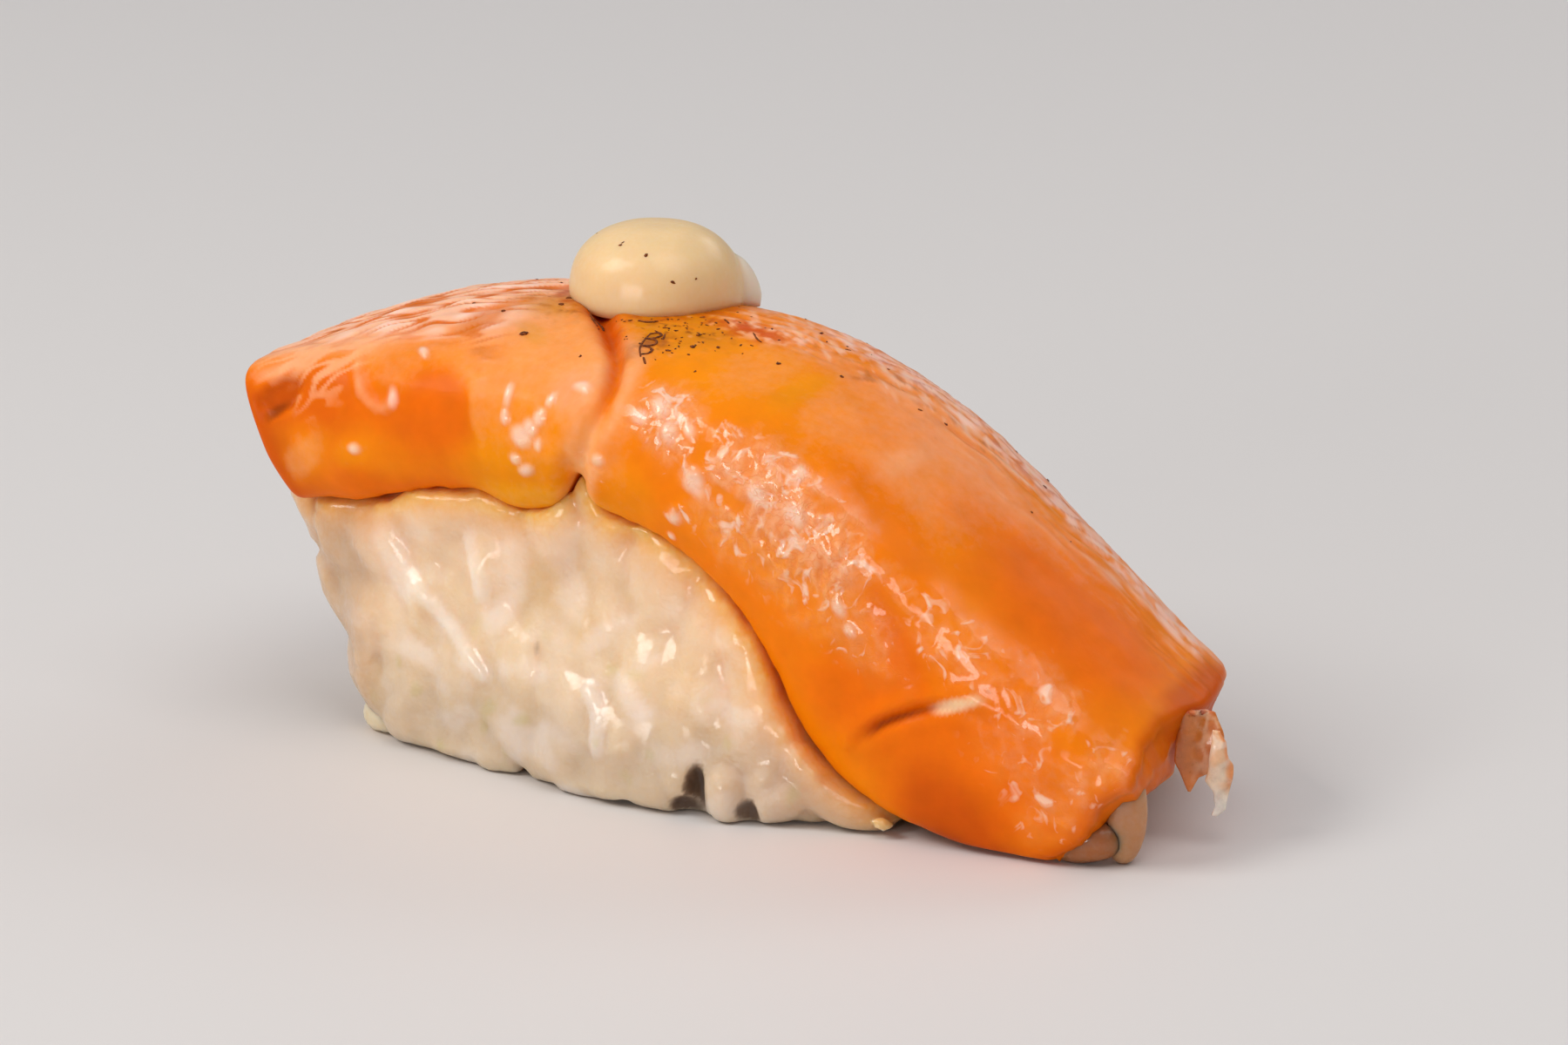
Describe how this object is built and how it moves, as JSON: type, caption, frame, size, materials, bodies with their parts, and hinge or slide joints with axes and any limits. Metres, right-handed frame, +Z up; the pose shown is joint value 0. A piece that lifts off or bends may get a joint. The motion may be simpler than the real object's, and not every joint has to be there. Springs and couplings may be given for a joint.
{
  "type": "salmon nigiri",
  "caption": "Hand-pressed block of sushi rice under a draped slab of seared salmon, topped with a small dollop of spicy mayonnaise.",
  "frame": {"origin": "on the table under the middle of the whole piece's box", "axes": "+X along the piece towards the end of the slab that hangs down, -Y the front that bulges, +Z up"},
  "size_m": [0.0656, 0.0292, 0.0333],
  "materials": {
    "cooked_rice": "moist translucent cooked rice, satin",
    "salmon_flesh": "wet, lightly seared salmon flesh, glossy",
    "spicy_mayo": "smooth creamy sauce, semi-gloss"
  },
  "bodies": {
    "root": {"rice": "cooked_rice", "salmon": "salmon_flesh", "sauce_dollop": "spicy_mayo"}
  },
  "joints": []
}
